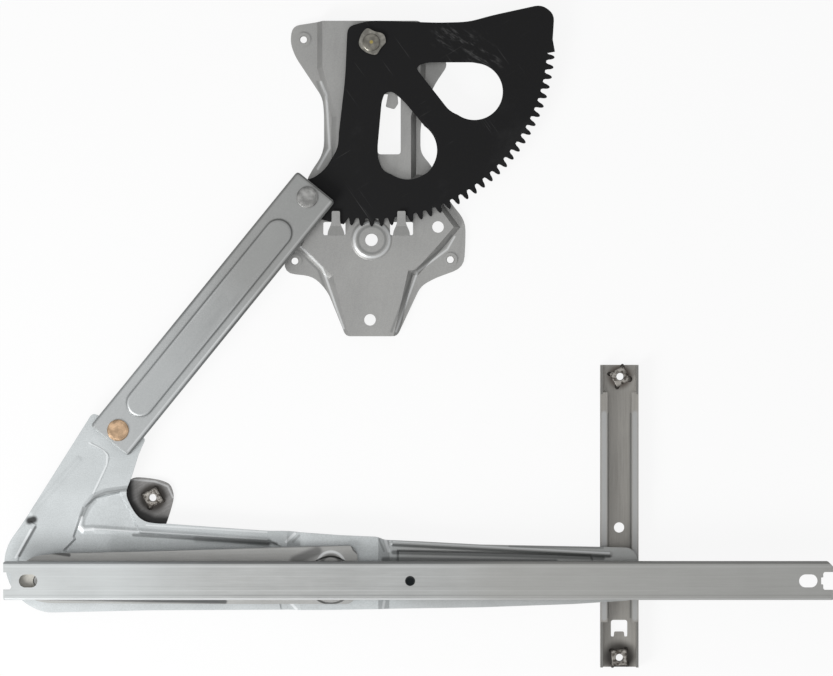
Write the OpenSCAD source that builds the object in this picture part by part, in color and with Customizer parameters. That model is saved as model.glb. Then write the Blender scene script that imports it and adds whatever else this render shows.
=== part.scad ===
// Window regulator with a toothed sector drive and a folding scissor lift.
// Millimetres. The part lies flat on the back faces of its plates, front side up (+Z).
// The origin is the axis of the gear plate's pilot bore, on the back plane.

/* [Pressings] */
// Thickness of the main pressed sheets
sheet = 2.0; // [1.6:0.1:2.2]
// Thickness of the link, rail and guide sheets
thin = 1.8; // [1.4:0.1:2.0]
// Height of the gear plate platform top above its ears
platform_z = 8.0; // [7:0.5:8]

/* [Sector] */
// Distance from the pilot bore up to the sector pivot
sector_y = 124.4; // [122:0.1:126]
// Radius over the tooth tips
tip_r = 116.0; // [114:0.5:117]
// Radius at the tooth roots
root_r = 111.1; // [109:0.1:112]
// Teeth on the toothed edge
tooth_count = 30; // [26:1:31]
// Angle between teeth in degrees
tooth_pitch = 3.158; // [3.1:0.001:3.2]
// Angle of the first tooth in degrees
tooth_from = -96.2; // [-98:0.1:-95]
// Thickness of the sector blank
sector_t = 3.0; // [2.5:0.1:3.1]

/* [Linkage] */
// Height of the lift axis line below the pilot bore
axis_y = -214.3; // [-216:0.1:-212]
// Position of the lever pivot along the part
pivot_x = -208.0; // [-210:0.5:-206]
// Half length of the scissor arms
half_len = 182.4; // [180:0.1:184]
// Width of the link channel
link_w = 30.5; // [29:0.5:32]
// Height of the link channel
link_h = 6.2; // [5.8:0.1:6.2]

/* [Rail and guide] */
// Length of the glass rail
rail_len = 520.0; // [500:5:530]
// Width of the glass rail
rail_w = 24.0; // [23.6:0.1:25]
// Length of the guide channel
guide_len = 191.2; // [185:0.1:195]
// Width of the guide channel
guide_w = 24.0; // [23.6:0.1:25]

/* [Fits] */
// Radial clearance of the turning pins
run_fit = 0.05; // [0.02:0.01:0.09]
// Radial clearance of the riveted pins
rivet_fit = 0.02; // [0.01:0.01:0.05]
// Radius of the small pins
pin_r = 4.0; // [3.8:0.1:4.2]
// Radius of the main pivot pins
main_r = 5.0; // [4.8:0.1:5.2]

/* [Hidden] */
$fn = 64;
eps = 0.02;

P = [pivot_x, axis_y];
M = [pivot_x + half_len, axis_y];
A = [pivot_x + 2 * half_len, axis_y];
O = [0, sector_y];
T = O + (tip_r - 10.17) * unit([-40.2, -97.9]);
D = P + [48.6, 94.1];
nut_at = P + [69.7, 51.2];
tooth_end = tooth_from + (tooth_count - 1) * tooth_pitch;
plate_top = 62;
plate_foot = 32.5;
plate_low = -61;
sector_z = 9.4;
sector_top = sector_z + sector_t;
link_z = 14.8;
link_top = link_z + link_h;
lever_z = 11.6;
lever_top = lever_z + sheet;
pad_z = 17.6;
pad_top = pad_z + sheet;
half_z = 15.0;
half_top = half_z + sheet;
front_z = 22.8;
front_top = front_z + sheet;
rear_z = 9.3;
rear_top = rear_z + sheet;
rail_z = 25.0;
rail_top = 36.4;
guide_top = 9.0;
guide_t = 1.5;
boss_top = 11.5;

function unit(v) = v / norm(v);
function wrap(p, i) = p[(i + len(p)) % len(p)];
function xy(p) = [p[0], p[1]];
function reach(a, b, c, r) = min(r, 0.45 * norm(a - b), 0.45 * norm(c - b));
function bend(b, u, v, d, n) = [
  for (k = [0:n]) let (t = k / n) b + (1 - t) * (1 - t) * d * u + t * t * d * v
];
// A polygon with its corners rounded; a third number in a point is its own radius
function soft(p, r, n = 4) = [
  for (i = [0:len(p) - 1])
    let (a = xy(wrap(p, i - 1)), b = xy(p[i]), c = xy(wrap(p, i + 1)))
    let (q = len(p[i]) > 2 ? p[i][2] : r, d = reach(a, b, c, q))
    each (d > 0 ? bend(b, unit(a - b), unit(c - b), d, n) : [b])
];
function side(a, b) = let (u = unit(b - a)) [u[1], -u[0]];
// A polygon with every edge moved outwards by d; radii are kept
function grow(p, d) = [
  for (i = [0:len(p) - 1])
    let (a = xy(wrap(p, i - 1)), b = xy(p[i]), c = xy(wrap(p, i + 1)))
    let (m = side(a, b), n = side(b, c), q = b + d * (m + n) / (1 + m * n))
    len(p[i]) > 2 ? [q[0], q[1], p[i][2]] : q
];
function ccw(p) = [for (i = [len(p) - 1:-1:0]) p[i]];
function box2(x0, y0, x1, y1) = [[x0, y0], [x1, y0], [x1, y1], [x0, y1]];
function arc(c, r, a0, a1, n) = [
  for (k = [0:n]) let (a = a0 + (a1 - a0) * k / n) c + r * [cos(a), sin(a)]
];
function level(p, z) = [for (q = p) [q[0], q[1], z]];

module prism(p, z0, z1) {
  translate([0, 0, z0])
    linear_extrude(z1 - z0)
      polygon(p);
}

// A block with sloping sides from outline p at z0 to outline q at z1
module prismoid(p, z0, q, z1) {
  n = len(p);
  polyhedron(
    points = concat(level(p, z0), level(q, z1)),
    faces = concat(
      [[for (i = [0:n - 1]) i]],
      [[for (i = [0:n - 1]) 2 * n - 1 - i]],
      [for (i = [0:n - 1]) [i, i + n, (i + 1) % n + n, (i + 1) % n]]
    )
  );
}

module bore(c, r, z0, z1) {
  translate([c[0], c[1], z0])
    cylinder(r = r, h = z1 - z0);
}

module ring(c, r, hole, z0, z1) {
  difference() {
    bore(c, r, z0, z1);
    bore(c, hole, z0 - 1, z1 + 1);
  }
}

// Side profile in X and Z, carried right across the part
module across(profile) {
  translate([0, 300, 0])
    rotate([90, 0, 0])
      linear_extrude(600)
        polygon(profile);
}

// Rivet or pin turned from points of radius and height
module turned(c, pts) {
  translate([c[0], c[1], 0])
    rotate_extrude()
      polygon(pts);
}

plate_line = soft([
  [-plate_top / 2, sector_y + 14, 2], [-50, sector_y + 11, 5], [-51.5, sector_y + 1, 6],
  [-48.5, sector_y - 8, 6], [-plate_top / 2, 90, 8], [-30, 80, 5], [-30, 55, 8], [-40, 41, 8],
  [-54.5, -5.5, 6], [-55.5, -21, 7], [-37, -23, 6], [-28, -32, 6], [-plate_foot / 2, plate_low, 3],
  [plate_foot / 2, plate_low, 3], [31, -29.5, 6], [39.5, -24.5, 5], [58.5, -17.5, 8], [59.5, -2, 5],
  [59.5, 12, 6], [49, 25, 6], [38, 47, 6], [31, 55, 5], [31, 73, 6], [39, 97, 6], [48.5, 111, 4],
  [plate_top / 2, sector_y + 14, 3]
], 2);
// Raised platform, as convex fields that overlap: head, neck, body and foot
platform_fields = [
  [
    [-plate_top / 2, 150], [-plate_top / 2, 109], [-22, 78], [25, 78], [plate_top / 2, 104],
    [plate_top / 2, 150]
  ],
  [[-22, 92], [-22, 30], [25, 30], [25, 92]],
  [[-44, -4], [-24, -23], [28, -19], [40, -6], [52, 8], [30, 38], [-24, 40]],
  [[-27, -12], [-plate_foot / 2 + 5, plate_low - 12], [plate_foot / 2 - 5, plate_low - 12], [24.9, -12]]
];
// Long window in the neck, with the hook that stays hanging from its top edge
window_line = soft([
  [4, 54, 2], [18.5, 54, 2], [18.5, 92, 2], [16.5, 92, 0.5], [17, 86, 1], [14.5, 82.5, 1],
  [9, 84, 1], [10.5, 92, 0.5], [4, 92, 2]
], 1);
tab_profile = [
  [1.5, 6.2], [4.2, 6.2], [9.2, 12.8], [18, 12.8], [18, 14.2], [8.4, 14.2], [2.6, 8], [1.5, 8]
];

module guide_tab(x) {
  intersection() {
    translate([x - 10, 0, 0])
      rotate([90, 0, 90])
        linear_extrude(20)
          polygon(tab_profile);
    prism(soft([
      [x - 5.5, 1], [x + 5.5, 1], [x + 5.2, 5, 2], [x + 2.6, 10.5, 3], [x + 2.6, 18.2, 1.4],
      [x - 2.6, 18.2, 1.4], [x - 2.6, 10.5, 3], [x - 5.2, 5, 2]
    ], 0.3), 5, 15);
  }
}

module gear_plate() {
  color("gainsboro") {
    difference() {
      union() {
        prism(plate_line, 0, sheet);
        intersection() {
          prism(plate_line, 0, 9);
          for (f = platform_fields)
            prismoid(grow(f, 4.95), -1, f, platform_z);
        }
        translate([0, 0, platform_z - 0.5])
          cylinder(r1 = 14.6, r2 = 10.4, h = 1.4);
        ring([-43, 126.8], 4.4, 2.5, sheet - 0.5, sheet + 0.8);
        ring([49.9, -12.5], 4.4, 2.5, sheet - 0.5, sheet + 0.8);
        ring([-48.5, -13.4], 4.4, 2.5, sheet - 0.5, sheet + 0.8);
      }
      difference() {
        for (f = platform_fields)
          prismoid(grow(f, 2.9), -1, grow(f, -2.2), platform_z - sheet);
        bore([0, 0], 6.4, -2, 7);
      }
      bore([0, 0], 4, -1, 12);
      bore([42.1, 8.1], 3.65, -1, 12);
      bore([-0.9, -50.6], 3.65, -1, 12);
      bore([-43, 126.8], 2.5, -1, 12);
      bore([49.9, -12.5], 2.5, -1, 12);
      bore([-48.5, -13.4], 2.5, -1, 12);
      bore(O, main_r + rivet_fit, -1, 12);
      prism(window_line, -1, 12);
      prism(soft(box2(-30.4, 2.9, -16.4, 11.2), 1.2), -1, 12);
      prism(soft(box2(11.8, 2.9, 26.3, 11.2), 1.2), -1, 12);
    }
    guide_tab(-22.4);
    guide_tab(19);
  }
}

module sector_pivot_rivet() {
  color("goldenrod")
    turned(O, [
      [0, 4.4], [7, 4.4], [7, 6], [main_r, 6], [main_r, 14], [5.6, 14], [5.6, 14.4], [5, 14.8],
      [0, 14.8]
    ]);
}

module sector_pivot_plate() {
  color("silver")
    translate([O[0], O[1], sector_top + 0.1])
      difference() {
        linear_extrude(1.5)
          rotate(-28)
            polygon(soft([
              [-6.6, -5.6, 3], [0, -7.4, 3], [6.8, -5.8, 3], [6.9, 0, 2], [8.4, 4.6, 3], [4.4, 8.8, 3],
              [-1.6, 6.9, 3], [-6.9, 7.2, 3], [-8.2, 1.4, 3]
            ], 2));
        translate([0, 0, -1])
          cylinder(r = main_r + rivet_fit, h = 4);
      }
}

module sector_washer() {
  color("silver")
    ring(O, 10, main_r + rivet_fit, platform_z, sector_z - 0.1);
}

tooth = [[0, -1.2], [1.2, -0.86], [2.9, -0.7], [4.2, -0.45], [4.9, -0.16]];
function polar(r, a) = O + r * [cos(a), sin(a)];
function polar_soft(r, a, q) = [O[0] + r * cos(a), O[1] + r * sin(a), q];
function tooth_points(a) = concat(
  [for (q = tooth) polar(root_r + q[0] * (tip_r - root_r) / 4.9, a + q[1])],
  [for (k = [4:-1:0]) polar(root_r + tooth[k][0] * (tip_r - root_r) / 4.9, a - tooth[k][1])]
);
sector_line = concat(
  soft([
    polar(tip_r - 1.5, tooth_end + 5.6), polar_soft(tip_r + 0.9, tooth_end + 13.5, 5),
    polar_soft(tip_r - 5.9, tooth_end + 17.2, 5), [75.5, sector_y + 17, 8], [61.5, sector_y + 13, 12], [42, sector_y + 12.5, 6],
    [-1, sector_y + 14, 13], [-15, sector_y + 10, 12], [-15.5, sector_y + 1], [-16.5, 102, 8],
    [-20.5, 67.5], [-21, 58, 5], [-29, 44.5, 6], [-37, 38.5, 4], [-46, 37, 6], [-52.5, 30, 6],
    [-52, 23, 3]
  ], 0),
  arc(O, tip_r, tooth_from - 19.2, tooth_from - 2.4, 8),
  [for (i = [0:tooth_count - 1]) each tooth_points(tooth_from + i * tooth_pitch)],
  [polar(tip_r, tooth_end + 1.8)]
);

module sector_gear() {
  color("dimgray")
    difference() {
      prism(sector_line, sector_z, sector_top);
      bore(O, main_r + run_fit, 0, 20);
      bore(T, 4.5 + run_fit, 0, 20);
      prism(soft([
        [13.5, 93.5, 3], [8.5, 93, 3], [6.5, 87, 2], [3.5, 54, 5], [7, 43, 8], [23, 38, 10],
        [36, 41.5, 10], [41.5, 52, 9], [39, 64.5, 8], [31, 75], [20.5, 87.5, 3]
      ], 0), 0, 20);
      bore([23, 56.5], 18.5, 0, 20);
      prism(soft([
        [30.5, 110.5, 3], [28.5, 108, 2], [31.5, 104, 2], [49.5, 81, 4], [60, 76.5, 6],
        [76, 79, 8], [82, 94, 8], [76, 108, 8], [66, 112, 4], [36, 112, 2]
      ], 0), 0, 20);
      bore([65, 93.5], 18, 0, 20);
    }
}

// Places the link's own frame, lower rivet at its start and upper rivet along +X
module on_link() {
  translate([D[0], D[1], 0])
    rotate(atan2(T[1] - D[1], T[0] - D[0]))
      children();
}
link_len = norm(T - D);
link_line = soft(box2(-8.8, -link_w / 2, link_len + 8.8, link_w / 2), 2.5);
bead_line = concat(
  arc([link_len - 29, 0], 8, -90, 90, 12),
  arc([22, 0], 8, 90, 270, 12)
);

module link_arm() {
  color("lightgray")
    on_link()
      difference() {
        union() {
          prism(link_line, link_z, link_top - 1.2);
          prismoid(link_line, link_top - 1.2, grow(link_line, -1.1), link_top);
          prismoid(grow(bead_line, 1), link_top - 0.05, bead_line, link_top + 1);
        }
        prism(box2(-20, -link_w / 2 + thin, link_len + 20, link_w / 2 - thin), link_z - 1, link_top - thin);
        prismoid(grow(bead_line, -0.8), link_top - thin - 0.01, grow(bead_line, -1.6), link_top - 0.8);
        bore([0, 0], 4.5 + rivet_fit, 0, 30);
        bore([link_len, 0], 4.5 + rivet_fit, 0, 30);
      }
}

module link_rivet(c, low) {
  turned(c, [
    [0, low - 1.4], [6, low - 1.4], [6.6, low - 0.9], [6.6, low - 0.1], [4.5, low - 0.1],
    [4.5, link_top], [6.8, link_top], [6.8, link_top + 0.7], [6.2, link_top + 1.2], [5, link_top + 1.4],
    [0, link_top + 1.4]
  ]);
}

module link_rivet_upper() {
  color("silver")
    link_rivet(T, sector_z);
}

module link_spacer_upper() {
  color("silver")
    ring(T, 8, 4.5 + rivet_fit, sector_top + 0.1, link_top - thin);
}

module link_rivet_lower() {
  color("peru")
    link_rivet(D, lever_z);
}

module link_spacer_lower() {
  color("silver")
    ring(D, 8, 4.5 + rivet_fit, lever_top + 0.1, link_top - thin);
}

// The lever runs from the link rivet down to its pivot, then along the axis line
lever_line = soft([
  [D[0] - 16.5, D[1] + 11, 3], [D[0] - 28.5, D[1] - 8, 8], [pivot_x - 9, axis_y + 40, 8],
  [pivot_x - 14, axis_y + 32.5, 4], [pivot_x - 20.5, axis_y + 23.5, 5], [pivot_x - 23, axis_y + 15.5, 4],
  [pivot_x - 23.5, axis_y + 10.5, 3], [pivot_x - 21.5, axis_y, 5], [pivot_x - 16.5, axis_y - 9.5, 5],
  [pivot_x - 9, axis_y - 16, 5], [pivot_x - 2, axis_y - 19.5, 4], [pivot_x + 4, axis_y - 21, 3],
  [pivot_x + 70, axis_y - 19.5], [M[0], axis_y - 19], [M[0] + 95, axis_y - 17.5],
  [A[0] - 30, axis_y - 15.5], [A[0] + 9, axis_y - 13, 5], [A[0] + 12, axis_y, 6],
  [A[0] + 11.5, axis_y + 12.5, 4], [A[0] + 8.5, axis_y + 18, 3], [A[0] + 5.5, axis_y + 20, 2],
  [A[0] - 10, axis_y + 20.5], [M[0] + 94, axis_y + 22], [M[0] + 56, axis_y + 24],
  [M[0] + 34, axis_y + 25, 3], [M[0] + 29.5, axis_y + 27, 3], [M[0] + 6, axis_y + 28],
  [M[0] - 28, axis_y + 30.5, 4], [M[0] - 40, axis_y + 30.5, 4], [M[0] - 76, axis_y + 33],
  [P[0] + 79, axis_y + 35], [P[0] + 73.5, axis_y + 35, 3], [P[0] + 66, axis_y + 36, 4],
  [P[0] + 61, axis_y + 39, 4],
  [P[0] + 57, axis_y + 44.5, 4], [P[0] + 52.5, axis_y + 54, 6], [P[0] + 57, axis_y + 65.3, 4], [D[0] + 12.5, D[1] - 15.5],
  [D[0] + 16.5, D[1] - 6.5, 2], [D[0] + 16, D[1] - 5, 1]
], 0);
// Raised lip round the corner below the pivot
lip_line = soft([
  [pivot_x - 7.5, axis_y + 36.5], [pivot_x - 3.5, axis_y + 34], [pivot_x - 9.5, axis_y + 24, 5],
  [pivot_x - 14.5, axis_y + 15, 6], [pivot_x - 15.5, axis_y + 9, 6], [pivot_x - 12.5, axis_y - 2, 6],
  [pivot_x - 6.5, axis_y - 9.5, 6], [pivot_x + 2.5, axis_y - 13.5, 6], [pivot_x + 16, axis_y - 15, 3],
  [pivot_x + 150, axis_y - 15], [pivot_x + 152, axis_y - 24], [pivot_x + 2, axis_y - 24],
  [pivot_x - 14, axis_y - 18], [pivot_x - 26, axis_y], [pivot_x - 28, axis_y + 14],
  [pivot_x - 18, axis_y + 28]
], 0.5);
// Sunk panels: two convex fields on the wide part, one on the tail
recess_fields = [
  [
    [P[0] + 49, axis_y + 54], [P[0] + 35, axis_y + 51], [P[0] + 27, axis_y + 45],
    [P[0] + 21, axis_y + 27], [P[0] + 36, axis_y - 2], [P[0] + 62, axis_y - 2], [P[0] + 62, axis_y + 28]
  ],
  [
    [P[0] + 18, axis_y + 10], [P[0] + 36, axis_y - 10], [M[0] - 40.4, axis_y - 10],
    [M[0] - 32.4, axis_y + 2], [M[0] - 32.4, axis_y + 20], [M[0] - 38.4, axis_y + 23.5],
    [P[0] + 62, axis_y + 28.5], [P[0] + 25, axis_y + 28.5], [P[0] + 15, axis_y + 18]
  ]
];
half_line = [
  [M[0] + 43, axis_y + 17.5], [M[0] + 43, axis_y - 11], [M[0] + 94, axis_y - 11],
  [A[0] - 19, axis_y - 8.5], [A[0] - 15, axis_y + 2], [A[0] - 19, axis_y + 14.5],
  [M[0] + 94, axis_y + 16.5]
];
// Narrow raised crease from the link rivet down to the recess
crease_line = soft([
  [D[0] - 18, D[1] - 8], [D[0] - 17, D[1] - 10], [D[0] - 11, D[1] - 14, 3], [D[0] - 9, D[1] - 17, 3],
  [D[0] - 9, D[1] - 20.5, 3], [D[0] - 10.5, D[1] - 25], [D[0] - 17.5, D[1] - 39.5],
  [D[0] - 15.5, D[1] - 40.5], [D[0] - 8, D[1] - 24.5], [D[0] - 6.5, D[1] - 20, 3],
  [D[0] - 6, D[1] - 16, 3], [D[0] - 10, D[1] - 12, 3]
], 0.3);

module lever_arm() {
  color("lightgray")
    difference() {
      union() {
        intersection() {
          prism(lever_line, 0, 30);
          across([
            [-300, lever_z], [M[0] - 26.5, lever_z], [M[0] - 18, pad_z], [M[0] + 31, pad_z],
            [M[0] + 38, half_z], [300, half_z], [300, half_top], [M[0] + 37, half_top],
            [M[0] + 30, pad_top], [M[0] - 19, pad_top], [M[0] - 27.5, lever_top], [-300, lever_top]
          ]);
        }
        intersection() {
          prism(lever_line, 0, 30);
          prism(ccw(lip_line), lever_top - 0.5, lever_top + 0.8);
        }
        prism(crease_line, lever_top - 0.5, lever_top + 0.5);
        for (f = recess_fields)
          prismoid(grow(f, 1.4), lever_z - 1.2, grow(f, 2.9), lever_z + 0.3);
        prismoid(grow(half_line, 1.4), half_z - 1.4, grow(half_line, 2.9), half_z + 0.3);
      }
      for (f = recess_fields)
        prismoid(f, lever_top - 1.2, grow(f, 2.4), lever_top + 0.8);
      prismoid(half_line, half_top - 1.4, grow(half_line, 2.4), half_top + 1);
      bore(P, main_r + run_fit, 0, 30);
      bore(M, main_r + run_fit, 0, 30);
      bore(A, pin_r + rivet_fit, 0, 30);
      bore(D, 4.5 + run_fit, 0, 30);
    }
}

bracket_line = soft([
  [nut_at[0] - 13, nut_at[1] + 13, 4], [nut_at[0] - 4, nut_at[1] + 12.5, 6],
  [nut_at[0] + 5, nut_at[1] + 11, 6], [nut_at[0] + 11, nut_at[1] + 8.5, 5],
  [nut_at[0] + 13.5, nut_at[1] + 1, 8], [nut_at[0] + 11.5, nut_at[1] - 7, 6],
  [nut_at[0] + 7, nut_at[1] - 21, 8], [P[0] + 58, axis_y + 9.3, 10], [P[0] + 30, axis_y - 11.7, 10],
  [P[0] - 4, axis_y - 15.7, 12], [P[0] - 17, axis_y - 1.7, 12], [P[0] - 14, axis_y + 18.3, 12],
  [P[0] + 8, axis_y + 32.3, 10], [P[0] + 38, axis_y + 46.3, 8]
], 2);

module pivot_bracket() {
  color("gray")
    difference() {
      union() {
        prism(ccw(bracket_line), 0, sheet);
        translate([P[0], P[1], 0])
          cylinder(r1 = 16.5, r2 = 11.5, h = boss_top);
      }
      translate([P[0], P[1], -0.01])
        cylinder(r1 = 14.4, r2 = 9.9, h = boss_top - sheet + 0.03);
      bore(P, main_r + rivet_fit, 0, 20);
      bore(nut_at, 3.2, -1, 5);
      prism(soft([
        [P[0] + 32, axis_y], [P[0] + 52, axis_y + 8.3], [P[0] + 62, axis_y + 24.3],
        [P[0] + 44, axis_y + 32.3]
      ], 5), -1, 5);
    }
}

module weld_nut(c, turn, z) {
  translate([c[0], c[1], z])
    rotate(turn)
      difference() {
        union() {
          translate([0, 0, 0.3])
            linear_extrude(4.2)
              polygon(soft(box2(-4.9, -4.9, 4.9, 4.9), 1, 2));
          translate([0, 0, 4.4])
            prismoid(
              soft(box2(-4.9, -4.9, 4.9, 4.9), 1, 2), 0,
              grow(soft(box2(-4.9, -4.9, 4.9, 4.9), 1, 2), -0.6), 0.6
            );
          for (a = [45:90:315])
            translate([5.2 * cos(a), 5.2 * sin(a), 0])
              cylinder(r = 1.1, h = 1.2);
        }
        translate([0, 0, -1])
          cylinder(r = 2.6, h = 8);
      }
}

module bracket_weld_nut() {
  color("gray")
    weld_nut(nut_at, 28, sheet);
}

module lever_pivot_pin() {
  color("silver")
    turned(P, [
      [0, boss_top - sheet - 1.4], [8, boss_top - sheet - 1.4], [8, boss_top - sheet],
      [main_r, boss_top - sheet], [main_r, lever_top + 0.1], [8, lever_top + 0.1], [8, lever_top + 1.4],
      [6.6, lever_top + 2.2], [0, lever_top + 2.2]
    ]);
}

module centre_pin() {
  color("silver")
    turned(M, [
      [0, rear_z - 1.4], [8, rear_z - 1.4], [8, rear_z], [main_r, rear_z], [main_r, front_z + 0.8],
      [7, front_z + 0.8], [7, front_z + 1.4], [6.2, front_top - 0.1], [0, front_top - 0.1]
    ]);
}

module centre_spacer_rear() {
  color("silver")
    ring(M, 9, main_r + rivet_fit, rear_top, pad_z - 0.1);
}

module centre_spacer_front() {
  color("silver")
    ring(M, 9, main_r + rivet_fit, pad_top + 0.1, front_z - 1.2);
}

front_line = soft([
  [pivot_x - 6.5, axis_y + 14.5, 8], [pivot_x + 11, axis_y + 17], [pivot_x + 69, axis_y + 18],
  [M[0] - 23.5, axis_y + 21], [M[0] + 6.5, axis_y + 21.5], [M[0] + 13, axis_y + 22, 3],
  [M[0] + 17, axis_y + 17, 3], [M[0] + 17.5, axis_y - 7, 3], [M[0] + 13.5, axis_y - 15, 4],
  [M[0] - 64, axis_y - 15], [pivot_x + 2, axis_y - 14.5, 8], [pivot_x - 11.5, axis_y - 10, 8],
  [pivot_x - 14.5, axis_y + 6, 8]
], 0);

module scissor_arm_front() {
  color("darkgray")
    difference() {
      union() {
        prism(ccw(front_line), front_z, front_top);
        intersection() {
          prism(ccw(front_line), front_z - 3, front_top);
          bore(M, 16.6, front_z - 1.2, front_z + 0.3);
        }
      }
      translate([M[0], M[1], front_top - 1.2])
        cylinder(r1 = 14.2, r2 = 15.4, h = 1.21);
      bore(M, main_r + rivet_fit, 0, 40);
      bore(P, pin_r + rivet_fit, 0, 40);
      prism(soft(box2(P[0] + 36, axis_y - 5, M[0] - 40, axis_y + 5), 4.9), front_top - 0.6, 40);
    }
}

rear_line = soft([
  [M[0], axis_y - 14], [M[0] + 40, axis_y - 13], [A[0] - 30, axis_y - 11], [A[0], axis_y - 11],
  [A[0] + 11.5, axis_y - 10, 8], [A[0] + 11.5, axis_y + 10, 8], [A[0], axis_y + 11],
  [A[0] - 30, axis_y + 11], [M[0] + 40, axis_y + 13], [M[0], axis_y + 14],
  [M[0] - 13.5, axis_y + 13, 10], [M[0] - 13.5, axis_y - 13, 10]
], 3);

module scissor_arm_rear() {
  color("darkgray")
    difference() {
      prism(rear_line, rear_z, rear_top);
      bore(M, main_r + rivet_fit, 0, 40);
      bore(A, pin_r + rivet_fit, 0, 40);
      prism(soft(box2(M[0] + 40, axis_y - 6, A[0] - 40, axis_y + 6), 5), rear_top - 0.6, 40);
    }
}

rail_x = P[0] - 22.4;
rail_end = rail_x + rail_len;

module slot(x, y, len_between, r, z0, z1) {
  bore([x - len_between / 2, y], r, z0, z1);
  bore([x + len_between / 2, y], r, z0, z1);
  prism(box2(x - len_between / 2, y - r, x + len_between / 2, y + r), z0, z1);
}

module glass_rail() {
  h = rail_w / 2;
  color("lightgray")
    difference() {
      intersection() {
        prism(soft([
          [rail_x, axis_y - h, 1], [rail_end, axis_y - h, 1], [rail_end, axis_y + h - 3, 0],
          [rail_end - 3, axis_y + h, 0], [rail_x, axis_y + h, 1]
        ], 0), rail_z, rail_top);
        translate([rail_x - 1, axis_y, 0])
          rotate([90, 0, 90])
            linear_extrude(rail_len + 2)
              polygon([
                [-h, rail_z], [h, rail_z], [h, rail_top - 1.4], [h - 0.5, rail_top - 0.5],
                [h - 1.4, rail_top], [-h + 1.4, rail_top], [-h + 0.5, rail_top - 0.5], [-h, rail_top - 1.4]
              ]);
      }
      prism(box2(rail_x - 2, axis_y - h + thin, rail_end + 2, axis_y + h - thin), rail_z + thin, rail_top - thin);
      prism(box2(rail_x - 2, axis_y - h + 4.8, rail_end + 2, axis_y + h - 4.8), rail_z - 1, rail_z + 3);
      slot(rail_x + 15.6, axis_y, 3.4, 4.1, rail_top - 4, rail_top + 2);
      slot(rail_end - 15.6, axis_y, 3.4, 4.1, rail_top - 4, rail_top + 2);
      bore([rail_x + rail_len / 2 - 5.1, axis_y], 3.15, rail_top - 4, rail_top + 2);
      prism(soft([
        [rail_end - 6.3, axis_y - 5.6, 2], [rail_end + 2, axis_y - 5.6], [rail_end + 2, axis_y + 5.6],
        [rail_end - 6.3, axis_y + 5.6, 2], [rail_end - 6.3, axis_y + 2.2, 0.4],
        [rail_end - 7.6, axis_y + 2.2, 0.4], [rail_end - 7.6, axis_y - 2.2, 0.4],
        [rail_end - 6.3, axis_y - 2.2, 0.4]
      ], 0.2), rail_top - 4, rail_top + 2);
      prism(soft([
        [rail_x - 2, axis_y - 5.4], [rail_x + 5, axis_y - 5.4, 2], [rail_x + 5, axis_y + 5.4, 2],
        [rail_x - 2, axis_y + 5.4]
      ], 0.2), rail_top - 4, rail_top + 2);
    }
}

// Sliding shoe with a hole for its pin
module shoe(c, w, l, z0, z1) {
  difference() {
    translate([c[0], c[1], z0])
      linear_extrude(z1 - z0)
        polygon(soft(box2(-l / 2, -w / 2, l / 2, w / 2), 2));
    bore(c, pin_r + run_fit, z0 - 1, z1 + 1);
  }
}

shoe_w = rail_w - 2 * thin - 0.4;
shoe_low = rail_z + thin + 0.2;
shoe_top = rail_top - thin - 0.2;
// The rail shoes run on two side strips; the groove between them passes the screw ends
groove_z = shoe_top - 2.6;
module rail_shoe(c) {
  difference() {
    shoe(c, shoe_w, 26, shoe_low, shoe_top);
    prism(box2(c[0] - 20, c[1] - 4.6, c[0] + 20, c[1] + 4.6), groove_z, shoe_top + 1);
  }
}

module rail_shoe_right() {
  color("ivory")
    rail_shoe(A);
}

module rail_shoe_left() {
  color("ivory")
    rail_shoe(P);
}

// Pin with a head under a sheet, a collar over it and a turning end
module shoe_pin(c, under, over, collar, end) {
  turned(c, [
    [0, under - 1.4], [6.2, under - 1.4], [7, under - 0.9], [7, under], [pin_r, under], [pin_r, over],
    [6.2, over], [6.2, collar], [pin_r, collar], [pin_r, end - 0.5], [pin_r - 0.5, end], [0, end]
  ]);
}

module rail_pin_right() {
  color("silver")
    shoe_pin(A, half_z, half_top, shoe_low - 0.1, groove_z - 0.2);
}

module rail_pin_left() {
  color("silver")
    shoe_pin(P, front_z, front_top, shoe_low - 0.1, groove_z - 0.2);
}

module guide_shoe() {
  color("ivory")
    shoe(A, 26, guide_w - 2 * guide_t - 0.4, guide_t + 0.2, guide_top - guide_t - 0.2);
}

module guide_pin() {
  color("silver")
    turned(A, [
      [0, guide_t + 0.6], [pin_r - 0.5, guide_t + 0.6], [pin_r, guide_t + 1.1], [pin_r, guide_top - guide_t - 0.1],
      [6.2, guide_top - guide_t - 0.1], [6.2, rear_z], [pin_r, rear_z], [pin_r, rear_top], [7, rear_top],
      [7, rear_top + 0.9], [6.2, rear_top + 1.4], [0, rear_top + 1.4]
    ]);
}

guide_y = axis_y + 135.2;
guide_end = guide_y - guide_len;
guide_x = A[0];

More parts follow.
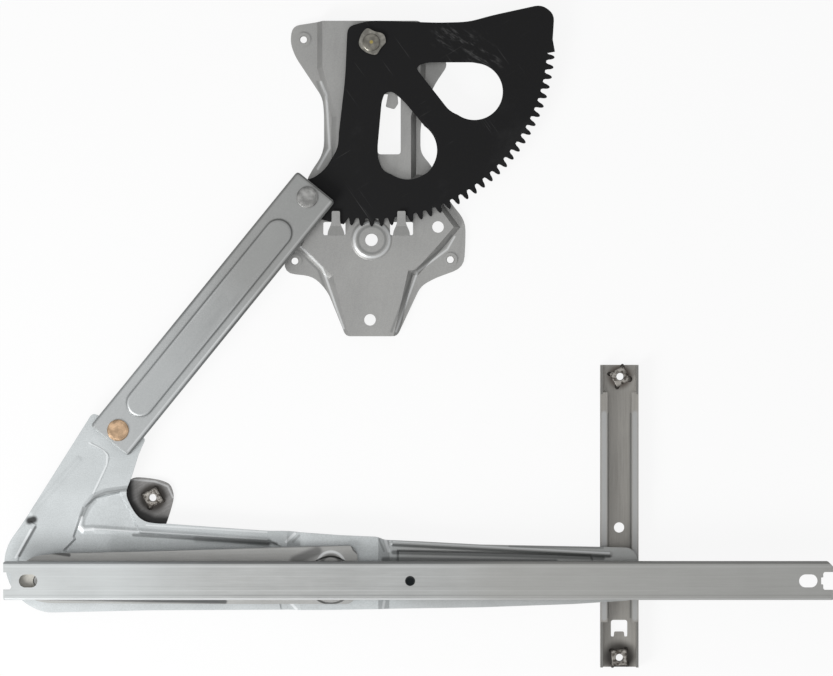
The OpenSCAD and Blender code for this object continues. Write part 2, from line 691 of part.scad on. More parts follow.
module guide_channel() {
  h = guide_w / 2;
  color("silver")
    difference() {
      prism(box2(guide_x - h, guide_end, guide_x + h, guide_y), 0, guide_top);
      prism(box2(guide_x - h + guide_t, guide_end - 1, guide_x + h - guide_t, guide_y + 1),
        guide_t, guide_top - guide_t);
      prism(box2(guide_x - h + 4.4, guide_end - 1, guide_x + h - 4.4, guide_y + 1), guide_t, guide_top + 1);
      prism(box2(guide_x - h + guide_t, guide_y - 17.3, guide_x + h - guide_t, guide_y + 1),
        guide_t, guide_top + 1);
      prism(box2(guide_x - h + guide_t, guide_end - 1, guide_x + h - guide_t, guide_end + 28.6),
        guide_t, guide_top + 1);
      bore([guide_x + 0.4, guide_y - 7.4], 3.2, -1, 3);
      bore([guide_x, guide_end + 6.1], 3.2, -1, 3);
      bore([guide_x, guide_y - 103], 3.25, -1, 3);
      prism(soft([
        [guide_x - 5.2, guide_end + 19.1, 1.8], [guide_x - 3.4, guide_end + 19.1, 0.3],
        [guide_x - 3, guide_end + 22.3, 0.8], [guide_x + 3, guide_end + 22.3, 0.8],
        [guide_x + 3.4, guide_end + 19.1, 0.3], [guide_x + 5.2, guide_end + 19.1, 1.8],
        [guide_x + 5.2, guide_end + 29.7, 1.8], [guide_x - 5.2, guide_end + 29.7, 1.8]
      ], 0.3), -1, 3);
    }
}

module guide_weld_nuts() {
  color("gray") {
    weld_nut([guide_x + 0.4, guide_y - 7.4], 30, guide_t);
    weld_nut([guide_x, guide_end + 6.1], 4, guide_t);
  }
}

gear_plate();
sector_pivot_rivet();
sector_pivot_plate();
sector_washer();
sector_gear();
link_arm();
link_rivet_upper();
link_spacer_upper();
link_rivet_lower();
link_spacer_lower();
lever_arm();
pivot_bracket();
bracket_weld_nut();
lever_pivot_pin();
centre_pin();
centre_spacer_rear();
centre_spacer_front();
scissor_arm_front();
scissor_arm_rear();
glass_rail();
rail_shoe_right();
rail_shoe_left();
rail_pin_right();
rail_pin_left();
guide_shoe();
guide_pin();
guide_channel();
guide_weld_nuts();
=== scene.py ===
import math

import bpy
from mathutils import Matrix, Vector


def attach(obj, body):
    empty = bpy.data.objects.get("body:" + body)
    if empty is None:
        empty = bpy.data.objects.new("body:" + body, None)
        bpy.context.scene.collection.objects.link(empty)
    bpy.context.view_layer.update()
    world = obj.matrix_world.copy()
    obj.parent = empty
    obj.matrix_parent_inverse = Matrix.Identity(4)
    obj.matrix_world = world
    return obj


# The regulator, as it is packed.
# Its pieces lie flat on their backs, as on a bench, and every later section dresses
# one of them or a group of like ones.
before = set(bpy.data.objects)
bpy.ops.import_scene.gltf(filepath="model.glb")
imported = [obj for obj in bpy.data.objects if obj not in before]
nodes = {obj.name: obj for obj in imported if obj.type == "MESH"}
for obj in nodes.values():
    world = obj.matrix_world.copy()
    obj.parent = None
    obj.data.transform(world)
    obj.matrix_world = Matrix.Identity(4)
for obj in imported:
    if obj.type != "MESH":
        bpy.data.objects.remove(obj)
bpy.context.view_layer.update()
MM = 0.001


# The bench and the light.
# A white sheet lies under the part, a long lens looks straight down on it, and the
# lamps are large and soft, so that the pale zinc shows its pressed steps.
VIEW_CENTRE = (28.5 * MM, -62.1 * MM)
VIEW_WIDTH = 524.8 * MM
LENS = 220.0
MID_HEIGHT = 18 * MM
BENCH_DROP = 0.6 * MM

lens = bpy.data.cameras.new("bench_camera")
lens.lens = LENS
lens.sensor_width = 36.0
lens.clip_end = 50.0
camera = bpy.data.objects.new("bench_camera", lens)
camera.location = (*VIEW_CENTRE, MID_HEIGHT + VIEW_WIDTH * LENS / lens.sensor_width)
bpy.context.scene.collection.objects.link(camera)
bpy.context.scene.camera = camera
bpy.context.scene.view_settings.view_transform = "Standard"

LAMPS = (
    ("lamp_key", (-0.62, -0.66, 0.62), 0.5, 9.5),
    ("lamp_overhead", (-0.3, -0.2, 2.6), 1.2, 4.0),
)
for lamp_name, place, lamp_size, power in LAMPS:
    lamp = bpy.data.lights.new(lamp_name, "AREA")
    lamp.size = lamp_size
    lamp.energy = power
    hung = bpy.data.objects.new(lamp_name, lamp)
    hung.location = place
    hung.visible_camera = False
    aim = Vector((*VIEW_CENTRE, 0)) - hung.location
    hung.rotation_euler = aim.to_track_quat("-Z", "Y").to_euler()
    bpy.context.scene.collection.objects.link(hung)

SURROUND = 0.504
PAPER_GREY = 0.55
PAPER_GLOW = 1.05
PAPER_GLOW_SHARE = 0.85
world = bpy.data.worlds.new("studio")
bpy.context.scene.world = world
world.use_nodes = True
sky = world.node_tree
sky.nodes.clear()
ray = sky.nodes.new("ShaderNodeLightPath")
level = sky.nodes.new("ShaderNodeMapRange")
level.inputs["To Min"].default_value = SURROUND
level.inputs["To Max"].default_value = 1.0
sky.links.new(ray.outputs["Is Camera Ray"], level.inputs["Value"])
glow = sky.nodes.new("ShaderNodeBackground")
glow.inputs["Color"].default_value = (1, 1, 1, 1)
sky.links.new(level.outputs[0], glow.inputs["Strength"])
horizon = sky.nodes.new("ShaderNodeOutputWorld")
sky.links.new(glow.outputs[0], horizon.inputs[0])

BENCH_REACH = 4.0
bench_mesh = bpy.data.meshes.new("bench")
bench_mesh.from_pydata(
    [
        (x * BENCH_REACH, y * BENCH_REACH, -BENCH_DROP)
        for x, y in ((-1, -1), (1, -1), (1, 1), (-1, 1))
    ],
    [],
    [(0, 1, 2, 3)],
)
bench = bpy.data.objects.new("bench", bench_mesh)
bpy.context.scene.collection.objects.link(bench)
paper = bpy.data.materials.new("bench_paper")
paper.use_nodes = True
sheet_nodes = paper.node_tree
sheet_nodes.nodes.clear()
matt = sheet_nodes.nodes.new("ShaderNodeBsdfDiffuse")
matt.inputs["Color"].default_value = (PAPER_GREY, PAPER_GREY, PAPER_GREY, 1)
lift = sheet_nodes.nodes.new("ShaderNodeEmission")
lift.inputs["Color"].default_value = (1, 1, 1, 1)
lift.inputs["Strength"].default_value = PAPER_GLOW
eye = sheet_nodes.nodes.new("ShaderNodeLightPath")
shown = sheet_nodes.nodes.new("ShaderNodeMath")
shown.operation = "MULTIPLY"
shown.inputs[1].default_value = PAPER_GLOW_SHARE
sheet_nodes.links.new(eye.outputs["Is Camera Ray"], shown.inputs[0])
both = sheet_nodes.nodes.new("ShaderNodeMixShader")
sheet_nodes.links.new(shown.outputs[0], both.inputs["Fac"])
sheet_nodes.links.new(matt.outputs[0], both.inputs[1])
sheet_nodes.links.new(lift.outputs[0], both.inputs[2])
paper_out = sheet_nodes.nodes.new("ShaderNodeOutputMaterial")
sheet_nodes.links.new(both.outputs[0], paper_out.inputs[0])
bench_mesh.materials.append(paper)


# The gear plate: a pressed zinc-plated plate.
# It has a raised platform with sloping sides and low ears, a boss round the pilot
# bore, and three small threaded holes that are flanged out of the sheet.
class Flow:
    """A socket of a finish, on which sums can be written."""

    def __init__(self, finish, socket):
        self.finish = finish
        self.socket = socket

    def calc(self, operation, *values):
        return self.finish.node("ShaderNodeMath", {"operation": operation}, values)

    def __add__(self, other):
        return self.calc("ADD", self, other)

    def __sub__(self, other):
        return self.calc("SUBTRACT", self, other)

    def __mul__(self, other):
        return self.calc("MULTIPLY", self, other)

    def __rsub__(self, other):
        return self.calc("SUBTRACT", other, self)

    __radd__ = __add__
    __rmul__ = __mul__

    def step(self, low, high):
        """0 below low, 1 above high, with a soft edge between."""
        return self.finish.node(
            "ShaderNodeMapRange",
            {"interpolation_type": "SMOOTHSTEP"},
            {"Value": self, "From Min": low, "From Max": high},
        )


class Finish:
    """A material whose nodes are written as expressions."""

    def __init__(self, name):
        self.material = bpy.data.materials.new(name)
        self.material.use_nodes = True
        self.tree = self.material.node_tree
        self.tree.nodes.clear()
        self.shader = self.tree.nodes.new("ShaderNodeBsdfPrincipled")
        out = self.tree.nodes.new("ShaderNodeOutputMaterial")
        self.tree.links.new(self.shader.outputs[0], out.inputs[0])

    def node(self, kind, settings=None, values=(), out=0):
        made = self.tree.nodes.new(kind)
        for key, value in (settings or {}).items():
            setattr(made, key, value)
        pairs = values.items() if isinstance(values, dict) else enumerate(values)
        for key, value in pairs:
            self.put(made.inputs[key], value)
        return Flow(self, made.outputs[out])

    def put(self, socket, value):
        if isinstance(value, Flow):
            self.tree.links.new(value.socket, socket)
        else:
            socket.default_value = value

    def set(self, **values):
        for key, value in values.items():
            self.put(self.shader.inputs[key.replace("_", " ")], value)
        return self.material

    def place(self, scale=(1, 1, 1), turn=0.0):
        """Object coordinates whose X lies along a direction, each axis stretched."""
        at = self.node("ShaderNodeTexCoord", out="Object")
        along = self.node(
            "ShaderNodeVectorRotate", {"rotation_type": "Z_AXIS"}, {"Vector": at, "Angle": -turn}
        )
        return self.node("ShaderNodeVectorMath", {"operation": "MULTIPLY"}, [along, scale])

    def noise(self, at, scale, detail=3.0, roughness=0.5):
        return self.node(
            "ShaderNodeTexNoise",
            {"noise_dimensions": "3D"},
            {"Vector": at, "Scale": scale, "Detail": detail, "Roughness": roughness},
        )

    def blend(self, factor, first, second):
        made = self.tree.nodes.new("ShaderNodeMix")
        made.data_type = "RGBA"
        self.put(made.inputs[0], factor)
        self.put(made.inputs[6], first)
        self.put(made.inputs[7], second)
        return Flow(self, made.outputs[2])

    def near(self, point, low, high):
        """1 within low of a point of the part, 0 beyond high, all in metres."""
        at = self.node("ShaderNodeTexCoord", out="Object")
        far = self.node(
            "ShaderNodeVectorMath", {"operation": "DISTANCE"}, [at, point], out="Value"
        )
        return 1 - far.step(low, high)

    def beside(self, path):
        """Distance in metres from a bent line, seen from above; the path is in mm."""
        at = self.node("ShaderNodeTexCoord", out="Object")
        flat = self.node("ShaderNodeVectorMath", {"operation": "MULTIPLY"}, [at, (1, 1, 0)])
        nearest = None
        for start, end in zip(path, path[1:]):
            start, way = Vector((*start, 0)) * MM, Vector((*end, 0)) * MM
            way -= start
            out = self.node("ShaderNodeVectorMath", {"operation": "SUBTRACT"}, [flat, start])
            along = self.node(
                "ShaderNodeVectorMath", {"operation": "DOT_PRODUCT"}, [out, way], out="Value"
            )
            share = self.node(
                "ShaderNodeMapRange", None, {"Value": along, "From Max": way.length_squared}
            )
            foot = self.node(
                "ShaderNodeVectorMath", {"operation": "SCALE"}, {0: way, "Scale": share}
            )
            gap = self.node(
                "ShaderNodeVectorMath", {"operation": "DISTANCE"}, [out, foot], out="Value"
            )
            nearest = gap if nearest is None else nearest.calc("MINIMUM", nearest, gap)
        return nearest

    def bump(self, height, strength, depth):
        return self.node(
            "ShaderNodeBump", None, {"Height": height, "Strength": strength, "Distance": depth}
        )


def rgb(red, green=None, blue=None):
    green = red if green is None else green
    return (red, green, green if blue is None else blue, 1.0)


def zinc(
    name, pale, deep, turn=0.0, rough=0.42, metal=0.55, drawn=0.3, marks=(), shading_lines=(), rolls=()
):
    """Plated sheet: a fine drawn grain, soft cloudy patches and a few dull smears.

    Marks are burnt spots. Lines are bands of painted shade and painted highlight beside a
    path, for the light on pressed edges, folds and hollows, and wide ones painted darker or
    lighter for light falling across the part; each is path, half width, tint, strength
    and, where the band runs round the path, its distance. Rolls are pressed forms: path,
    distance of the flat top's edge, of the foot, and height.
    """
    sheet = Finish(name)
    grain = sheet.noise(sheet.place((40, 900, 400), turn), 1.0, 4.0, 0.6)
    cloud = sheet.noise(sheet.place(), 28.0, 4.0, 0.55)
    fleck = sheet.noise(sheet.place(), 1400.0, 2.0)
    smear = sheet.noise(sheet.place((9, 60, 30), turn), 1.0, 5.0, 0.65).step(0.55, 0.75)
    shade = cloud.step(0.3, 0.7) * 0.5 + grain.step(0.3, 0.7) * drawn
    shade = shade + fleck.step(0.35, 0.65) * (0.5 - drawn)
    colour = sheet.blend(shade, rgb(*deep), rgb(*pale))
    colour = sheet.blend(smear * 0.3, colour, rgb(*[0.8 * c for c in deep]))
    for point, low, high, burnt in marks:
        ragged = sheet.near(point, low, high) * (0.55 + cloud * 0.9)
        colour = sheet.blend(ragged, colour, rgb(*burnt))
    # Bands of painted shade and painted highlight, and wide bands painted darker or lighter for
    # light falling across the part.
    for path, half_width, tint, strength, *distance in shading_lines:
        off = sheet.beside(path) - sum(distance) * MM
        painted_band = 1 - off.calc("ABSOLUTE", off).step(0.3 * half_width * MM, half_width * MM)
        colour = sheet.blend(painted_band * strength, colour, rgb(*tint))
    relief = (grain * 0.5 + fleck * 0.5) * 0.015
    for path, flat, foot, height in rolls:
        relief = relief + (1 - sheet.beside(path).step(flat * MM, foot * MM)) * height
    return sheet.set(
        Base_Color=colour,
        Metallic=metal,
        Roughness=rough - 0.08 + cloud * 0.12 + smear * 0.06,
        Normal=sheet.bump(relief, 1.0, MM),
    )


def wear(node, finish):
    """Gives a CAD node its finish."""
    nodes[node].data.materials.clear()
    nodes[node].data.materials.append(finish)


# SHADE and SHINE are the colours of painted shade and painted highlight, laid in bands along
# pressed edges and folds.
SHADE, SHINE = (0.10, 0.105, 0.105), (0.9, 0.92, 0.93)
# Painted highlights along the lit shoulders of the platform and painted shade along their feet,
# and a painted highlight ring and a painted shade ring round the pilot bore's boss.
UPPER_SHOULDER = ((-32.0, 100.0), (-28.6, 92.0), (-26.6, 58.0), (-34.0, 45.0))
UPPER_SHOULDER_FOOT = ((-34.4, 100.0), (-31.0, 91.0), (-29.4, 58.0), (-37.0, 46.0))
LEFT_SHOULDER = ((-45.0, -4.0), (-31.0, -18.0), (-17.6, -56.0))
LEFT_SHOULDER_FOOT = ((-47.0, -6.0), (-33.6, -19.0), (-20.6, -56.0))
RIGHT_SHOULDER = ((50.6, 2.6), (46.0, -4.6), (26.6, -20.0), (12.6, -58.0))
RIGHT_SHOULDER_FOOT = ((52.6, 2.0), (48.0, -6.0), (29.0, -20.4), (15.6, -58.0))
PILOT_BORE = ((0.1, 0.0), (0.3, 0.0))
PLATE_SHADING = (
    (UPPER_SHOULDER, 1.1, SHINE, 0.45),
    (UPPER_SHOULDER_FOOT, 1.3, SHADE, 0.3),
    (LEFT_SHOULDER, 1.0, SHINE, 0.5),
    (LEFT_SHOULDER_FOOT, 1.2, SHADE, 0.35),
    (RIGHT_SHOULDER, 1.1, SHADE, 0.4),
    (RIGHT_SHOULDER_FOOT, 0.9, SHINE, 0.45),
    (PILOT_BORE, 1.2, SHINE, 0.5, 11.0),
    (PILOT_BORE, 1.2, SHADE, 0.45, 8.6),
)
wear(
    "gear_plate",
    zinc(
        "zinc_plate",
        (0.40, 0.40, 0.39),
        (0.31, 0.31, 0.305),
        math.radians(82),
        drawn=0.12,
        shading_lines=PLATE_SHADING,
    ),
)


# Threads in the plate's three small holes and in the three square nuts.
# Each is one turned groove of fine pitch, so it is a thin ridge that winds up the
# wall of its hole; the same tree winds them all.
def group_of(name, inputs):
    """An empty geometry tree with a geometry input and output, and named sizes."""
    tree = bpy.data.node_groups.new(name, "GeometryNodeTree")
    tree.interface.new_socket("Geometry", in_out="INPUT", socket_type="NodeSocketGeometry")
    for label, kind in inputs:
        tree.interface.new_socket(label, in_out="INPUT", socket_type=kind)
    tree.interface.new_socket("Geometry", in_out="OUTPUT", socket_type="NodeSocketGeometry")
    return tree


def join(tree, *pairs):
    for source, target in pairs:
        tree.links.new(source, target)


def add(tree, kind, **settings):
    made = tree.nodes.new(kind)
    for key, value in settings.items():
        setattr(made, key, value)
    return made


def thread_tree():
    tree = group_of(
        "wound_thread",
        (
            ("Hole radius", "NodeSocketFloat"),
            ("Ridge radius", "NodeSocketFloat"),
            ("Turns", "NodeSocketFloat"),
            ("Height", "NodeSocketFloat"),
            ("Finish", "NodeSocketMaterial"),
        ),
    )
    given = add(tree, "NodeGroupInput").outputs
    winding = add(tree, "GeometryNodeCurveSpiral")
    winding.inputs["Resolution"].default_value = 20
    profile = add(tree, "GeometryNodeCurvePrimitiveCircle")
    profile.inputs["Resolution"].default_value = 5
    ridge = add(tree, "GeometryNodeCurveToMesh")
    ridge.inputs["Fill Caps"].default_value = True
    spread = add(tree, "GeometryNodeInstanceOnPoints")
    real = add(tree, "GeometryNodeRealizeInstances")
    paint = add(tree, "GeometryNodeSetMaterial")
    last = add(tree, "NodeGroupOutput")
    join(
        tree,
        (given["Hole radius"], winding.inputs["Start Radius"]),
        (given["Hole radius"], winding.inputs["End Radius"]),
        (given["Turns"], winding.inputs["Rotations"]),
        (given["Height"], winding.inputs["Height"]),
        (given["Ridge radius"], profile.inputs["Radius"]),
        (winding.outputs["Curve"], ridge.inputs["Curve"]),
        (profile.outputs["Curve"], ridge.inputs["Profile Curve"]),
        (given["Geometry"], spread.inputs["Points"]),
        (ridge.outputs["Mesh"], spread.inputs["Instance"]),
        (spread.outputs[0], real.inputs[0]),
        (real.outputs[0], paint.inputs[0]),
        (given["Finish"], paint.inputs["Material"]),
        (paint.outputs[0], last.inputs[0]),
    )
    return tree


def grown(name, points, tree, sizes):
    """A piece that a geometry tree grows on points, turned into a plain mesh."""
    mesh = bpy.data.meshes.new(name + "_points")
    mesh.from_pydata([Vector(p) * MM for p in points], [], [])
    seed = bpy.data.objects.new(name + "_points", mesh)
    bpy.context.scene.collection.objects.link(seed)
    grower = seed.modifiers.new("grow", "NODES")
    grower.node_group = tree
    for socket in tree.interface.items_tree:
        if socket.in_out == "INPUT" and socket.name in sizes:
            grower[socket.identifier] = sizes[socket.name]
    graph = bpy.context.evaluated_depsgraph_get()
    solid = bpy.data.meshes.new_from_object(seed.evaluated_get(graph), depsgraph=graph)
    bpy.data.objects.remove(seed)
    piece = bpy.data.objects.new(name, solid)
    bpy.context.scene.collection.objects.link(piece)
    return piece


def mounted(piece, body):
    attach(piece, body)
    return piece


THREAD = thread_tree()
THREAD_TURNS = 4.0
THREAD_RIDGE = 0.22
THREAD_SUNK = 0.08
PLATE_TAP, NUT_TAP = 2.5, 2.6
PLATE_THREAD_RISE, NUT_THREAD_RISE = 2.0, 3.9
cutting = Finish("cut_steel")
cut_steel = cutting.set(
    Base_Color=cutting.blend(
        cutting.noise(cutting.place(), 900.0), rgb(0.16, 0.15, 0.14), rgb(0.34, 0.33, 0.31)
    ),
    Metallic=0.7,
    Roughness=0.4,
)


def threads(name, body, points, radius, height):
    """Fine ridges on the walls of holes whose lower rims are at the points."""
    sizes = {
        "Hole radius": (radius - THREAD_SUNK) * MM,
        "Ridge radius": THREAD_RIDGE * MM,
        "Turns": THREAD_TURNS,
        "Height": height * MM,
        "Finish": cut_steel,
    }
    return mounted(grown(name, points, THREAD, sizes), body)


PLATE_THREADS = ((-43.0, 126.8, 0.4), (49.9, -12.5, 0.4), (-48.5, -13.4, 0.4))
threads(
    "plate_threads",
    "drive_plate",
    PLATE_THREADS,
    PLATE_TAP,
    PLATE_THREAD_RISE,
)


# The sector's pivot: a bright staked plate with a brass-coloured rivet through it.
# The plate was struck with a punch on both sides of the rivet, so it is uneven.
def plain_metal(name, colour, rough, metal=0.85, scratch=0.25, core=None):
    """Turned or struck metal, slightly uneven, with short fine scratches.

    A core is a spot of another metal, as its x and y in mm, its radius and colour.
    """
    lump = Finish(name)
    patch = lump.noise(lump.place(), 260.0, 4.0)
    line = lump.noise(lump.place((300, 2600, 900), 0.6), 1.0, 2.0).step(0.58, 0.66)
    dark = rgb(*[0.55 * c for c in colour])
    tone = lump.blend(patch.step(0.35, 0.7), dark, rgb(*colour))
    if core:
        x, y, radius, metal_tone = core
        inside = 1 - lump.beside(((x, y), (x + 0.1, y))).step(0.6 * radius * MM, radius * MM)
        tone = lump.blend(inside, tone, rgb(*metal_tone))
    return lump.set(
        Base_Color=lump.blend(line * scratch, tone, dark),
        Metallic=metal,
        Roughness=rough - 0.06 + patch * 0.14,
        Normal=lump.bump(patch + line * 0.3, 0.35, 0.00012),
    )


rivet_steel = plain_metal("rivet_steel", (0.42, 0.42, 0.41), 0.38)
wear("sector_pivot_plate", plain_metal("struck_plate", (0.30, 0.29, 0.26), 0.3))
wear("sector_washer", rivet_steel)
BRASS_CORE = (0.0, 124.6, 1.3, (0.40, 0.32, 0.10))
wear("sector_pivot_rivet", plain_metal("pivot_rivet", (0.25, 0.24, 0.21), 0.35, core=BRASS_CORE))


# The toothed sector: blanked from 3 mm plate and coated matte black.
# The coating has faint grey rubs and a few hair scratches, more on the broad web
# below the pivot.
coat = Finish("black_coat")
rub = coat.noise(coat.place((14, 20, 10), 0.7), 1.0, 5.0, 0.7).step(0.56, 0.8)
speck = coat.noise(coat.place(), 2200.0, 2.0).step(0.62, 0.72)
hair_a = coat.noise(coat.place((18, 1500, 60), -0.95), 1.0, 2.0).step(0.69, 0.72)
hair_b = coat.noise(coat.place((22, 1300, 60), 0.55), 1.0, 2.0).step(0.70, 0.73)
mist = coat.noise(coat.place(), 45.0, 3.0).step(0.45, 0.7)
tone = coat.blend(rub * 0.4 + speck * 0.3, rgb(0.006, 0.006, 0.0065), rgb(0.03, 0.03, 0.031))
tone = coat.blend((hair_a + hair_b) * mist * 0.4, tone, rgb(0.12, 0.12, 0.12))
SCUFF = ((46.0, 129.0), (60.0, 124.0), (75.0, 113.0))
scuff = coat.noise(coat.place((90, 420, 200), -0.6), 1.0, 5.0, 0.7).step(0.5, 0.68)
scuff = scuff * (1 - coat.beside(SCUFF).step(2 * MM, 11 * MM))
tone = coat.blend(scuff * 0.55, tone, rgb(0.11, 0.11, 0.11))
wear(
    "sector_gear",
    coat.set(
        Base_Color=tone,
        Metallic=0.0,
        Roughness=0.56 - rub * 0.12,
        Specular_IOR_Level=0.2,
        Normal=coat.bump(coat.noise(coat.place(), 1500.0, 2.0), 0.2, 0.00005),
    ),
)


# The link: a folded zinc channel, open to the back, with a long raised bead.
# It is riveted to the sector with a steel rivet and to the lever with a
# copper-coloured one, each over a spacer.
LINK_START, LINK_TURN, LINK_LENGTH = (-159.4, -120.2), math.atan2(146.7, 119.2), 189.0
LINK_LAP = 9.0


def along_link(*places):
    """Points given as distances along the link and to its left, in mm."""
    across, up = math.cos(LINK_TURN), math.sin(LINK_TURN)
    return [
        (LINK_START[0] + d * across - left * up, LINK_START[1] + d * up + left * across)
        for d, left in places
    ]


LINK_FAR = LINK_LENGTH + LINK_LAP
BEAD = along_link((22, 0), (LINK_LENGTH - 29, 0))
# Painted shade along both flanges and the far end, painted highlight inside the lower flange,
# painted shade and highlight round the bead, and the upper end painted darker and the lower end
# lighter for light falling from the lower left.
LINK_SHADING = (
    (along_link((-8, 14.6), (LINK_FAR, 14.6)), 1.5, SHADE, 0.55),
    (along_link((-8, -14.7), (LINK_FAR, -14.7)), 1.1, SHADE, 0.7),
    (along_link((-6, -12.9), (LINK_FAR - 2, -12.9)), 0.7, SHINE, 0.35),
    (along_link((LINK_FAR - 1.5, 14), (LINK_FAR - 1.5, -14)), 1.2, SHADE, 0.35),
    (BEAD, 0.9, SHADE, 0.3, 9.0),
    (BEAD, 0.8, SHINE, 0.3, 7.6),
    (along_link((150, 0), (220, 0)), 60.0, (0.24, 0.24, 0.23), 0.5),
    (along_link((-20, 0), (10, 0)), 90.0, (0.45, 0.47, 0.475), 0.4),
)
wear(
    "link_arm",
    zinc(
        "zinc_link",
        (0.44, 0.45, 0.45),
        (0.34, 0.35, 0.35),
        LINK_TURN,
        drawn=0.12,
        shading_lines=LINK_SHADING,
        rolls=((BEAD, 6.8, 9.4, 0.6),),
    ),
)
for steel_piece in ("link_spacer_upper", "link_spacer_lower", "link_rivet_upper"):
    wear(steel_piece, rivet_steel)
wear("link_rivet_lower", plain_metal("copper_rivet", (0.68, 0.47, 0.30), 0.4, 0.75, 0.35))


# The lever and the bracket that carries it.
# The lever is a large zinc pressing; the bracket behind it is painted darker for the shade
# it lies in behind the lever, with a square nut welded on and the burnt marks of the weld round
# it.
NUT_AT = (-138.3, -163.1)
RECESS_RIM = (
    (-154.9, -158.0),
    (-167.2, -159.7),
    (-174.8, -162.7),
    (-179.6, -168.6),
    (-182.8, -175.4),
    (-183.8, -180.4),
    (-181.2, -183.0),
    (-175.7, -182.6),
)
REAR_STEP_SHADOW = ((-215.6, -177.4), (-213.0, -176.6))
REAR_GROOVE = ((-211.9, -181.4), (-222.0, -199.5))
REAR_GROOVE_EDGE = ((-214.8, -183.0), (-224.4, -200.5))
HEAD_ROLL = ((-184.8, -138.8), (-214.0, -172.0))
HEAD_CREASE = (
    (-178.0, -128.2),
    (-169.4, -132.0),
    (-166.6, -136.0),
    (-167.0, -142.0),
    (-175.6, -160.2),
)
RIB_SHADOW = ((-150.0, -186.4), (-60.0, -191.9))
RIB_SHADOW_DEEP = ((-110.0, -189.0), (-66.0, -191.6))
RIB_TOP = ((-176.0, -182.4), (-66.0, -189.4))
RIB_EDGE = ((-142.0, -180.2), (-66.0, -184.6))
NEAR_JOGGLE = ((-53.6, -190.6), (-48.2, -185.4))
NEAR_JOGGLE_FOOT = ((-49.4, -190.6), (-45.4, -186.6))
FAR_JOGGLE = ((8.2, -187.0), (11.0, -196.4))
FAR_JOGGLE_FOOT = ((5.0, -189.0), (8.0, -196.4))
NEAR_JOGGLE_BELOW = ((-51.2, -228.9), (-47.0, -233.0))
FAR_JOGGLE_BELOW = ((8.2, -228.0), (7.4, -232.0))
TAIL_RIB = ((14.0, -191.4), (150.0, -198.5))
TAIL_RIB_SHADOW = ((14.0, -192.4), (150.0, -199.4))
TAIL_RIB_TOP = ((14.0, -190.4), (150.0, -197.6))
TAIL_SHADOW_FIELD = ((40.0, -202.0), (175.0, -206.0))
TAIL_VALLEY = ((14.0, -197.2), (78.0, -198.8), (146.0, -200.8))
TAIL_BY_RAIL = ((8.0, -201.6), (116.0, -203.2))
TAIL_EDGE = ((87.0, -193.4), (146.0, -194.4))
HOLLOW_BY_ARM = ((-160.0, -192.0), (-70.0, -196.6))
SHADOW_IN_RAIL_HOLE = ((24.3, -215.8), (24.5, -215.8))
# Painted shade and painted highlight on the lever: near-black painted shadow at the rear step
# and where the rail's hole shows, painted shade and highlight along the groove, the recess rim
# and the ribs, painted shade in the tail's valley, by the rail and in the hollow by the arm,
# painted highlights on the crease and the joggles, and a wide darker band over the tail for the
# rail's shadow.
LEVER_SHADING = (
    (REAR_STEP_SHADOW, 3.4, (0.02, 0.02, 0.02), 0.95),
    (REAR_GROOVE, 1.3, SHADE, 0.75),
    (REAR_GROOVE_EDGE, 1.0, SHINE, 0.5),
    (RECESS_RIM[:5], 1.5, SHADE, 0.55),
    (RECESS_RIM[4:], 1.5, SHINE, 0.6),
    (RIB_SHADOW, 1.5, SHADE, 0.6),
    (RIB_SHADOW_DEEP, 3.4, SHADE, 0.35),
    (RIB_TOP, 0.7, SHINE, 0.5),
    (RIB_EDGE, 0.8, SHINE, 0.4),
    (HEAD_CREASE, 0.8, SHINE, 0.4),
    (TAIL_SHADOW_FIELD, 42.0, (0.33, 0.325, 0.31), 0.6),
    (TAIL_VALLEY, 2.0, SHADE, 0.75),
    (TAIL_BY_RAIL, 2.4, SHADE, 0.7),
    (TAIL_EDGE, 0.9, SHADE, 0.5),
    (HOLLOW_BY_ARM, 9.0, SHADE, 0.2),
    (SHADOW_IN_RAIL_HOLE, 6.0, (0.02, 0.028, 0.034), 0.95),
    (NEAR_JOGGLE, 1.3, SHINE, 0.7),
    (NEAR_JOGGLE_FOOT, 1.0, SHADE, 0.35),
    (FAR_JOGGLE, 1.3, SHINE, 0.6),
    (FAR_JOGGLE_FOOT, 0.9, SHADE, 0.4),
    (NEAR_JOGGLE_BELOW, 1.2, SHINE, 0.6),
    (FAR_JOGGLE_BELOW, 1.2, SHINE, 0.6),
    (TAIL_RIB_SHADOW, 1.3, SHADE, 0.6),
    (TAIL_RIB_TOP, 0.7, SHINE, 0.5),
)
LEVER_ROLLS = (
    (HEAD_ROLL, 0.0, 3.0, 0.2),
    ((*RECESS_RIM, (-66.0, -190.4)), 0.0, 3.2, 0.55),
    (TAIL_RIB, 0.0, 2.6, 0.5),
)
wear(
    "lever_arm",
    zinc(
        "zinc_lever",
        (0.60, 0.63, 0.64),
        (0.45, 0.475, 0.48),
        0.1,
        drawn=0.08,
        shading_lines=LEVER_SHADING,
        rolls=LEVER_ROLLS,
    ),
)
BURNT = (0.05, 0.045, 0.04)
MARK_HEIGHT = 3.0


def burnt_round(place, inner, outer, tint=BURNT):
    """A mark on the sheet: whole within inner mm of a place, gone beyond outer."""
    centre = (place[0] * MM, place[1] * MM, MARK_HEIGHT * MM)
    return (centre, inner * MM, outer * MM, tint)


BRACKET_MARKS = (burnt_round(NUT_AT, 6.5, 11),)
UNDER_LEVER = (
    (-155.0, -154.0),
    (-154.0, -166.0),
    (-148.0, -173.6),
    (-138.0, -178.6),
    (-130.0, -178.8),
)
BRACKET_RIM = ((-154.0, -151.4), (-137.0, -153.0), (-129.0, -156.0), (-125.8, -163.0))
